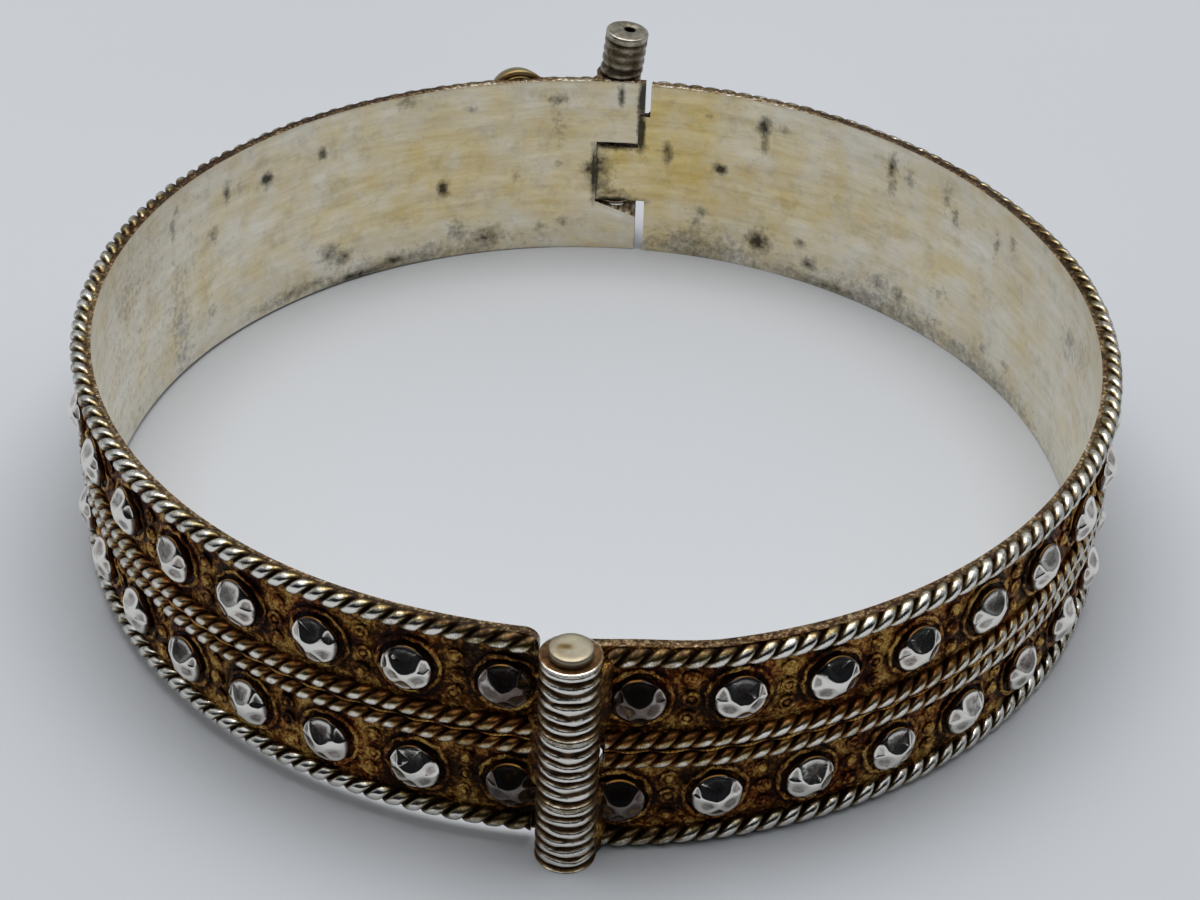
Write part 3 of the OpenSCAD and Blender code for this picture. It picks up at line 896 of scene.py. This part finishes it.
WIRES = {
    "edge_wire_bottom": (EDGE_INSET + EDGE_WIRE_D / 2, EDGE_WIRE_D, 2.19),
    "edge_wire_top": (BAND_H - EDGE_INSET - EDGE_WIRE_D / 2, EDGE_WIRE_D, 2.19),
    "middle_wire_lower": (MID_Z - MIDDLE_GAP / 2, MIDDLE_WIRE_D, 2.0),
    "middle_wire_upper": (MID_Z + MIDDLE_GAP / 2, MIDDLE_WIRE_D, 2.0),
}
for side in SIDES:
    for name, (height, wire_d, turn_length) in WIRES.items():
        at_notch = side == "right" and wire_d == EDGE_WIRE_D
        last = HALF_L - (CLASP_CLEAR_TOP if at_notch else WIRE_END_CLASP)
        ends = (WIRE_START, last) if side == "right" else (-last, -WIRE_START)
        bm = twisted_wire(*ends, height, wire_d, turn_length)
        note_place(bm)
        note_amount(bm, "wear", strand_wear(height, wire_d))
        rub_flat(bm)
        make_uneven(bm, 1.1, HAND_WORK)
        if name == "edge_wire_top":
            lift_top(bm, side)
        bend(bm, side)
        finish = wire_finish if wire_d == EDGE_WIRE_D else gilt_wire_finish
        make_piece(f"{side}_{name}", bm, [finish], side + "_half")

# %% [markdown]
# ## The thin wire between the middle wires
#
# In the valley between the two middle wires lies a thin gilt wire that waves with them. It is the same
# spin with a shift, at a small radius.

# %% Build the seam wires
SEAM_R, SEAM_WAVE, SEAM_OUT, SEAM_WEAR = 0.085, 0.06, 0.3, 0.75
SEAM_TURN = WIRES["middle_wire_lower"][2]
for side in SIDES:
    start, end = (WIRE_START, HALF_L - WIRE_END_CLASP) if side == "right" else (
        WIRE_END_CLASP - HALF_L, -WIRE_START)
    bm = bmesh.new()
    axis = Vector((start, -SEAM_OUT, MID_Z))
    section = Matrix.Translation(axis + Vector((0, 0, SEAM_WAVE))) @ Matrix.Rotation(math.pi / 2, 4, "Y")
    bmesh.ops.create_circle(bm, cap_ends=False, segments=8, radius=SEAM_R, matrix=section)
    one_turn(bm, axis, SEAM_TURN, 10)
    repeat_along(bm, SEAM_TURN, start, end)
    note_place(bm)
    note_amount(bm, "wear", lambda co: SEAM_WEAR * smooth_step(-SEAM_OUT, -SEAM_OUT - SEAM_R, co.y))
    bend(bm, side)
    make_piece(side + "_middle_seam", bm, [seam_finish], side + "_half")

# %% [markdown]
# ## Studs
#
# Each stud is a small silver dome on a low wall, hammered to six flat facets. A sphere is cut off at
# the wall's top, the rim is drawn down as the wall, and every facet is one plane cut that is closed
# again with a flat face. An inset then dishes each facet a little, and a Subdivision Surface modifier
# softens the ridges, which wear makes the brightest places. The facets differ a little from stud to
# stud, from a seeded chance, as hand work does.

# %% Tools for a stud
STUD_D, STUD_H, WALL_SHARE = 2.78, 1.05, 0.43
WALL_H = STUD_H * WALL_SHARE
CAP_H = STUD_H - WALL_H
CAP_R = ((STUD_D / 2) ** 2 + CAP_H ** 2) / (2 * CAP_H)
ON_FACE = Matrix.Rotation(math.pi / 2, 4, "X")
# Facets as (direction round the stud, tilt from its top, radius). The photograph's studs share them.
FACETS = (
    (92, 29, 0.84), (208, 26, 0.62), (332, 27, 0.60), (270, 30, 0.52), (158, 37, 0.5), (28, 37, 0.48))
SPREAD_ROUND, SPREAD_TILT, SPREAD_SIZE = 14, 4, 0.04
# Each facet is dished in two steps: how far in, as a share of its radius, how deep in mm, and its wear.
DISHES = ((0.18, 0.01, 0.86), (0.32, 0.03, 0.62))
RIDGE_WELD, DOME_WEAR, DOME_BRIGHT, FACET_UP, FACET_AREA = 0.02, 0.92, (0.2, 0.75), 0.3, 0.15


def stud(chance):
    """One faceted dome with its foot at z = 0, its ridges marked as worn brighter than its facets."""
    bm = bmesh.new()
    bmesh.ops.create_uvsphere(bm, u_segments=24, v_segments=16, radius=CAP_R)
    centre = Vector((0, 0, STUD_H - CAP_R))
    bmesh.ops.translate(bm, verts=bm.verts, vec=centre)
    rim = only(cut(bm, (0, 0, WALL_H), UP, clear_inner=True)["geom_cut"], bmesh.types.BMEdge)
    wall = bmesh.ops.extrude_edge_only(bm, edges=rim)
    foot = only(wall["geom"], bmesh.types.BMVert)
    bmesh.ops.translate(bm, verts=foot, vec=(0, 0, -WALL_H - SUNK))
    close_holes(bm)
    for round_to, tilt, size in FACETS:
        round_to = math.radians(round_to + chance.uniform(-SPREAD_ROUND, SPREAD_ROUND))
        tilt = math.radians(tilt + chance.uniform(-SPREAD_TILT, SPREAD_TILT))
        size += chance.uniform(-SPREAD_SIZE, SPREAD_SIZE)
        normal = Vector((
            math.sin(tilt) * math.cos(round_to), math.sin(tilt) * math.sin(round_to), math.cos(tilt)))
        cut(bm, centre + normal * math.sqrt(CAP_R ** 2 - size ** 2), normal, clear_outer=True)
        close_holes(bm)
    # The weld goes by the points' order, and the cuts leave another order in every run.
    bm.verts.sort(key=lambda vert: vert.co.x + 17 * vert.co.y + 311 * vert.co.z)
    weld(bm, RIDGE_WELD)
    note_amount(bm, "wear", lambda co: DOME_WEAR * smooth_step(*DOME_BRIGHT, co.z))
    layer = bm.verts.layers.float["wear"]
    facets = [face for face in bm.faces if face.normal.z > FACET_UP and face.calc_area() > FACET_AREA]
    for face in facets:
        radius = math.sqrt(face.calc_area() / math.pi)
        for share, depth, wear in DISHES:
            bmesh.ops.inset_individual(bm, faces=[face], thickness=share * radius, depth=-depth)
            for vert in face.verts:
                vert[layer] = wear
    return bm


# %% Build the studs
DULL_BESIDE_HINGE, DULL_FACET, DULL_RIDGE, FACET_BELOW = (3.0, 7.0), 0.43, 0.52, 0.7
for number, side in enumerate(SIDES):
    chance = random.Random(20 + number)
    bm = bmesh.new()
    for row in stud_places(side):
        for x, z in row:
            one = stud(chance)
            one.transform(Matrix.Translation((x, 0, z)) @ ON_FACE)
            add(bm, one)
    note_place(bm)
    wear_layer = bm.verts.layers.float["wear"]
    for vert in bm.verts:
        dull = 1 - smooth_step(*DULL_BESIDE_HINGE, abs(vert.co.x))
        duller = DULL_FACET if vert[wear_layer] < FACET_BELOW else DULL_RIDGE
        vert[wear_layer] += (min(duller, vert[wear_layer]) - vert[wear_layer]) * dull
    bend(bm, side)
    studs = make_piece(side + "_studs", bm, [stud_finish], side + "_half", sharp=60)
    ridges = studs.modifiers.new("worn ridges", "SUBSURF")
    ridges.levels = ridges.render_levels = 1

# %% [markdown]
# ## Rings and grains
#
# A ring of wire stands round each stud like the wall of a moat, and three grains in small rings of their
# own stand in a column between two studs. The rings are full spins, merged where they meet, and a little
# uneven. The grains are icospheres of 80 faces, half sunk in the ground.

# %% Build the rings and grains
RING_R, RING_WIRE_R, RING_OUT = 1.68, 0.15, 0.02
GRAIN_RISE, GRAIN_RING_R, GRAIN_WIRE_R, GRAIN_RING_OUT = 1.2, 0.36, 0.12, 0.08
# How far a grain strays along the strip and up, how its ring differs in size, and the grain's radius.
STRAY_ALONG, STRAY_UP, RING_SIZES, GRAIN_RADII = (-0.12, 0.12), (-0.1, 0.1), (0.9, 1.1), (0.22, 0.38)


def wire_ring(radius, wire_r, height, steps, sides):
    """A closed ring of round wire that lies on the z = 0 plane."""
    bm = bmesh.new()
    bmesh.ops.create_circle(
        bm, cap_ends=False, segments=sides, radius=wire_r,
        matrix=Matrix.Translation((radius, 0, height)) @ Matrix.Rotation(math.pi / 2, 4, "X"))
    full_spin(bm, steps)
    return bm


for number, side in enumerate(SIDES):
    chance = random.Random(40 + number)
    rings, grains = bmesh.new(), bmesh.new()
    for row in stud_places(side):
        for x, z in row:
            one = wire_ring(RING_R, RING_WIRE_R, RING_OUT, 36, 8)
            one.transform(Matrix.Translation((x, 0, z)) @ ON_FACE)
            add(rings, one)
        for (x_a, z), (x_b, _) in zip(row, row[1:]):
            if abs(x_b - x_a) > 1.5 * math.radians(STUD_STEP) * OUTER_R:
                continue
            for rise in (-GRAIN_RISE, 0, GRAIN_RISE):
                spot = Vector((
                    (x_a + x_b) / 2 + chance.uniform(*STRAY_ALONG), 0,
                    z + rise + chance.uniform(*STRAY_UP)))
                size = chance.uniform(*RING_SIZES)
                grain_r = chance.uniform(*GRAIN_RADII)
                one = wire_ring(GRAIN_RING_R, GRAIN_WIRE_R, GRAIN_RING_OUT, 12, 6)
                one.transform(Matrix.Translation(spot) @ ON_FACE @ Matrix.Diagonal((size, size, size, 1)))
                add(grains, one)
                bmesh.ops.create_icosphere(
                    grains, subdivisions=2, radius=grain_r, matrix=Matrix.Translation(spot))
    # high is where the wear is full, worn how much it adds there, and uneven how crooked they stand.
    for name, bm, high, worn, uneven in (
            ("_stud_rings", rings, 0.2, 0.62, 0.15), ("_grains", grains, 0.36, 1.0, 0.06)):
        note_place(bm)
        note_amount(bm, "wear", lambda co: 0.1 + worn * smooth_step(0.0, high, -co.y))
        make_uneven(bm, 1.9, uneven)
        bend(bm, side)
        make_piece(side + name, bm, [ground_finish], side + "_half")

# %% [markdown]
# ## Knuckles
#
# The hinge barrel looks like a stack of flat rings: grooves were turned into the tube. One knuckle is a
# profile of radius and height that is spun round the pin, bore and all, so it comes out as a closed
# tube. Old barrels aren't true, so the grooves wander a little and are worn away here and there. The
# clasp's barrel is a smaller one of the same kind. A small fillet of solder ties each knuckle to its
# own half.

# %% Tools for turned pieces
LATHE_STEPS, LIP = 56, 0.15
# One groove and one rib: how far along the pitch, and how far sunk as a share of the depth.
RIB_SHAPE = (
    (0, 0.75), (0.12, 1.0), (0.25, 0.85), (0.37, 0.42), (0.48, 0.14), (0.6, 0.0), (0.78, 0.0),
    (0.9, 0.25))
GROOVE_FILLED, GROOVE_WANDER, RIB_DENTS = 0.8, 0.11, 0.02


def turned(outline, closed):
    """Spins an outline of (radius, height) round Z. An open outline starts and ends on the axis."""
    bm = bmesh.new()
    verts = [bm.verts.new((radius, 0, height)) for radius, height in outline]
    for pair in zip(verts, verts[1:] + verts[:1] * closed):
        bm.edges.new(pair)
    full_spin(bm, LATHE_STEPS)
    return bm


def ribbed(low, high, radius, ribs, depth):
    """The outline of a barrel's ribbed outside, from low to high, with a thin lip at both ends."""
    pitch = (high - low - 2 * LIP) / ribs
    points = [
        (radius - 0.15, low), (radius - 0.03, low), (radius, low + 0.03), (radius, low + LIP - 0.07)]
    for k in range(ribs):
        foot = low + LIP + k * pitch
        points += [(radius - depth * sunk, foot + share * pitch) for share, sunk in RIB_SHAPE]
    return points + [
        (radius - depth * 0.75, high - LIP), (radius, high - LIP + 0.07), (radius, high - 0.03),
        (radius - 0.03, high), (radius - 0.15, high)]


def wander(bm, radius, low, high):
    """Makes the grooves wander up and down, and fills them a little where they are worn away."""
    for vert in bm.verts:
        reach = math.hypot(vert.co.x, vert.co.y)
        if reach < radius * 0.7:
            continue
        inside = smooth_step(0, 0.5, min(vert.co.z - low, high - vert.co.z))
        spot = Vector((vert.co.x * 0.9, vert.co.y * 0.9, vert.co.z * 1.3 + low))
        filled = GROOVE_FILLED * inside * smooth_step(0.14, 0.34, noise.noise(spot))
        new_reach = reach + (radius - 0.03 - reach) * filled if reach < radius - 0.05 else reach
        new_reach -= RIB_DENTS * abs(noise.noise(spot * 2.1))
        vert.co.x *= new_reach / reach
        vert.co.y *= new_reach / reach
        vert.co.z += GROOVE_WANDER * inside * noise.noise(spot + Vector((5, 0, 0)))


# %% Build the knuckles
RIBS, RIB_DEPTH = 6, 0.24
TOP_FACE_WEAR, GROOVE_WEAR, RIB_WEAR, RIB_WEAR_AT_JOINT = 0.3, 0.15, 0.85, 0.55


def barrel_wear(radius, low, high):
    """A rule for note_amount: ribs are bright on their crests, and browner on the barrel's flanks."""
    def rule(co):
        reach = math.hypot(co.x, co.y)
        if reach < radius - 0.1 and min(co.z - low, high - co.z) < 0.02:
            return TOP_FACE_WEAR
        crest = smooth_step(radius - RIB_DEPTH * 0.6, radius - RIB_DEPTH * 0.1, reach)
        facing = 0.5 + 0.5 * smooth_step(0.95, 0.55, abs(co.x) / radius)
        at_joint = min(co.z - low, high - co.z) < LIP and co.z < BAND_H
        return GROOVE_WEAR + (RIB_WEAR_AT_JOINT if at_joint else RIB_WEAR) * crest * facing
    return rule


def build_knuckles(name, side, radius, centre_y, zones):
    """The knuckles of one half at the hinge or the clasp, as one piece."""
    bm = bmesh.new()
    for low, high in zones:
        outline = [(BORE_R, low)] + ribbed(low, high, radius, RIBS, RIB_DEPTH) + [(BORE_R, high)]
        one = turned(outline, closed=True)
        note_amount(one, "wear", barrel_wear(radius, low, high))
        wander(one, radius, low, high)
        one.transform(Matrix.Translation((0, centre_y, 0)))
        add(bm, one)
    note_place(bm)
    return make_piece(name, bm, [barrel_finish], side + "_half", sharp=50)


build_knuckles("left_hinge_knuckle", "left", HINGE_R, HINGE_Y, HINGE_ZONES[1:2])
build_knuckles("right_hinge_knuckles", "right", HINGE_R, HINGE_Y, HINGE_ZONES[::2])
build_knuckles("left_clasp_knuckles", "left", CLASP_R, CLASP_Y, CLASP_ZONES[::2])
build_knuckles("right_clasp_knuckle", "right", CLASP_R, CLASP_Y, CLASP_ZONES[1:2])

# %% Build the solder fillets
FILLET_T, FILLET_GAP = 0.36, 0.1


def build_fillets(name, side, zones, start, end, centre_y):
    """Fillets from the sheet at start to a knuckle's flank at end, both as on the right half's hinge."""
    bm = bmesh.new()
    middle, run = (start + end) / 2, end - start
    for low, high in zones:
        one = bmesh.new()
        top = min(high, BAND_H - 0.3)
        bmesh.ops.create_cube(
            one, size=1,
            matrix=Matrix.Translation((middle.x, middle.y, (low + top) / 2))
            @ Matrix.Rotation(math.atan2(run.y, run.x), 4, "Z")
            @ Matrix.Diagonal((run.length, FILLET_T, top - low - FILLET_GAP, 1)))
        bmesh.ops.bevel(
            one, geom=one.edges[:], offset=0.12, segments=3, profile=0.5, affect="EDGES", material=-1)
        bmesh.ops.subdivide_edges(
            one, edges=[edge for edge in one.edges if edge.calc_length() > 0.5], cuts=12,
            use_grid_fill=True)
        add(bm, one)
    note_place(bm)
    note_amount(bm, "wear", lambda co: 0.4)
    make_uneven(bm, 2.3, 0.07)
    if side == "left":
        bmesh.ops.scale(bm, vec=(-1, 1, 1), verts=bm.verts)
    if centre_y > 0:
        bmesh.ops.scale(bm, vec=(1, -1, 1), verts=bm.verts)
    bmesh.ops.recalc_face_normals(bm, faces=bm.faces)
    make_piece(name, bm, [ground_finish], side + "_half")


HINGE_FILLET = Vector((1.95, -OUTER_R + 0.1, 0)), Vector((1.25, HINGE_Y - 0.35, 0))
CLASP_FILLET = Vector((2.7, -OUTER_R + 0.1, 0)), Vector((1.0, -CLASP_Y - 0.2, 0))
build_fillets("left_hinge_fillet", "left", HINGE_ZONES[1:2], *HINGE_FILLET, HINGE_Y)
build_fillets("right_hinge_fillets", "right", HINGE_ZONES[::2], *HINGE_FILLET, HINGE_Y)
build_fillets("left_clasp_fillets", "left", CLASP_ZONES[::2], *CLASP_FILLET, CLASP_Y)
build_fillets("right_clasp_fillet", "right", CLASP_ZONES[1:2], *CLASP_FILLET, CLASP_Y)

# %% [markdown]
# ## The two pins
#
# The hinge pin ends in a flat round head, riveted over on top of the barrel. The clasp pin can be lifted
# out: its ribbed head has a hole for a safety chain, and it is bent a little to the right. Both are
# turned pieces. The clasp pin's head is turned upright and then leaned over its flat foot.

# %% Build the hinge pin
PIN_R, PIN_HEAD_R, PIN_LOW = 0.7, 1.125, 0.05
head_z, head_top = HINGE_ZONES[2][1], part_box("hinge_pin")[1].z / MM
pin_outline = [
    (0, PIN_LOW), (PIN_R - 0.05, PIN_LOW), (PIN_R, PIN_LOW + 0.05), (PIN_R, head_z),
    (PIN_HEAD_R - 0.04, head_z), (PIN_HEAD_R, head_z + 0.05), (PIN_HEAD_R, head_top - 0.1),
    (PIN_HEAD_R - 0.03, head_top - 0.05), (PIN_HEAD_R - 0.08, head_top - 0.02)]
# More rings on the flat top, to hold the brown hollow that the wear draws there.
pin_outline += [(reach, head_top) for reach in (0.8, 0.6, 0.45, 0.3, 0.15, 0)]
PIN_WEAR, HOLLOW_WEAR, HOLLOW_X, HOLLOW_W, HOLLOW_H = 0.78, 0.75, -0.25, 0.32, 0.2
bm = turned(pin_outline, closed=False)
note_amount(bm, "wear", lambda co: PIN_WEAR - HOLLOW_WEAR * math.exp(
    -((co.x - HOLLOW_X) / HOLLOW_W) ** 2 - (co.y / HOLLOW_H) ** 2))
bm.transform(Matrix.Translation((0, HINGE_Y, 0)))
note_place(bm)
make_piece("barrel_pin", bm, [pin_finish], "right_half", ["hinge_pin"], sharp=50)

# %% Build the clasp pin
HEAD_R, HEAD_H, HEAD_LEAN, HEAD_SHIFT = 1.425, 3.0, math.radians(6), 0.17
HOLE_R, HOLE_DEPTH, HOLE_AT = 0.36, 1.0, Vector((0.15, 0.35, 0))
HOLE_FOOT = HEAD_H - HOLE_DEPTH
FOOT_Z = BAND_H + 0.12
SHANK_LOW, SHANK_TOP = CLASP_ZONES[2][0] + 0.05, FOOT_Z + 0.6
head_outline = [(0, -0.02), (HEAD_R - 0.1, -0.02), (HEAD_R, 0.08), (HEAD_R, 0.3), (HEAD_R - 0.16, 0.5)]
for foot in (0.62, 1.26, 1.9):
    head_outline += [
        (HEAD_R - 0.05, foot + 0.1), (HEAD_R, foot + 0.22), (HEAD_R, foot + 0.38),
        (HEAD_R - 0.08, foot + 0.54)]
head_outline += [
    (HEAD_R, 2.56), (HEAD_R, 2.9), (HEAD_R - 0.05, 2.97), (HEAD_R - 0.12, HEAD_H),
    (HOLE_R + 0.1, HEAD_H - 0.06), (HOLE_R, HEAD_H - 0.12), (HOLE_R, HOLE_FOOT), (0, HOLE_FOOT)]
head = turned(head_outline, closed=False)


def head_wear(co):
    """Bright on the ribs and the top, dark in the grooves and the hole."""
    reach = math.hypot(co.x, co.y)
    rib = 0.15 + 0.3 * smooth_step(HEAD_R - 0.12, HEAD_R - 0.02, reach)
    top = 0.35 * smooth_step(HEAD_H - 0.5, HEAD_H - 0.05, co.z)
    return (rib + top) * smooth_step(HOLE_R, HOLE_R + 0.12, reach)


note_amount(head, "wear", head_wear)
for vert in head.verts:
    near_hole = smooth_step(HEAD_R - 0.2, HOLE_R + 0.2, math.hypot(vert.co.x, vert.co.y))
    vert.co += HOLE_AT * near_hole * smooth_step(HOLE_FOOT - 0.1, HOLE_FOOT, vert.co.z)
    vert.co = Matrix.Rotation(HEAD_LEAN * smooth_step(0, 0.6, vert.co.z), 3, "Y") @ vert.co
head.transform(Matrix.Translation((HEAD_SHIFT, CLASP_Y, FOOT_Z + 0.01)))
shank = turned([
    (0, SHANK_LOW), (PIN_R - 0.05, SHANK_LOW), (PIN_R, SHANK_LOW + 0.05), (PIN_R, SHANK_TOP),
    (0, SHANK_TOP)], closed=False)
note_amount(shank, "wear", lambda co: 0.7)
shank.transform(Matrix.Translation((0, CLASP_Y, 0)))
add(head, shank)
note_place(head)
make_piece("clasp_peg", head, [peg_finish], "clasp_pin", ["clasp_pin"], sharp=50)

# %% [markdown]
# ## The knob beside the clasp
#
# A round knob sits on the left half beside the clasp, to be held while the pin is drawn. It is a dome in
# a ring of wire, brown and gold like the ground.

# %% Build the knob
KNOB_R, KNOB_OUT, KNOB_DOWN, KNOB_WIRE_R, KNOB_RING_OUT = 1.8, 0.65, 1.5, 0.22, 0.18
knob_x = -math.radians(180 - KNOB_TURN) * OUTER_R
knob_z = BAND_H - KNOB_DOWN
bm = bmesh.new()
bmesh.ops.create_uvsphere(
    bm, u_segments=40, v_segments=24, radius=KNOB_R,
    matrix=Matrix.Translation((knob_x, -KNOB_OUT, knob_z)) @ ON_FACE)
cut(bm, (0, SUNK, 0), INTO, clear_outer=True)
close_holes(bm)
ring = wire_ring(KNOB_R + 0.05, KNOB_WIRE_R, KNOB_RING_OUT, 40, 12)
ring.transform(Matrix.Translation((knob_x, 0, knob_z)) @ ON_FACE)
add(bm, ring)
note_place(bm)
note_amount(bm, "wear", lambda co: 0.5 + 0.4 * smooth_step(0.2, 2.0, -co.y))
bend(bm, "left")
make_piece("left_knob", bm, [knob_finish], "left_half")
